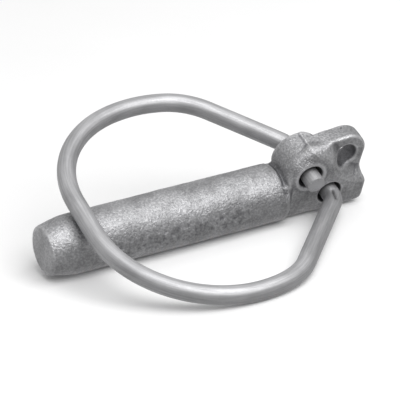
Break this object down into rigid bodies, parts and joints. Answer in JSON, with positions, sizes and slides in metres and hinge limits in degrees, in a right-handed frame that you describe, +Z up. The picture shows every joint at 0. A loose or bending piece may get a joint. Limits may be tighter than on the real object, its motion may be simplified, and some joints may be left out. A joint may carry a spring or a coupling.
{
  "type": "lynch pin",
  "caption": "Lynch pin with a cast galvanised shank and head, and a sprung wire ring that swings over the shank to lock it.",
  "frame": {"origin": "on the shank's axis, at the shoulder where the shank meets the head", "axes": "+X along the shank from its nose to its head, +Z up from the surface that the pin lies on; the head and the ring are rolled 21.6 degrees about X, as the pin comes to rest"},
  "size_m": [0.0874, 0.0702, 0.0308],
  "materials": {
    "pin_body": "hot-dip galvanised casting, dull grey with a coarse sparkling grain",
    "wire_ring": "zinc plated spring wire, satin, with fine lengthwise drawing lines"
  },
  "bodies": {
    "pin": {"pin_body": "pin_body"},
    "ring": {"wire_ring": "wire_ring"}
  },
  "joints": [
    {"name": "ring_swing", "type": "hinge", "parent": "pin", "child": "ring", "pos_m": [0.00907, -0.00136, 0.00344], "axis": [0, 0.9299, 0.3679], "range_deg": [0, 180], "deforming": ["wire_ring"]}
  ]
}
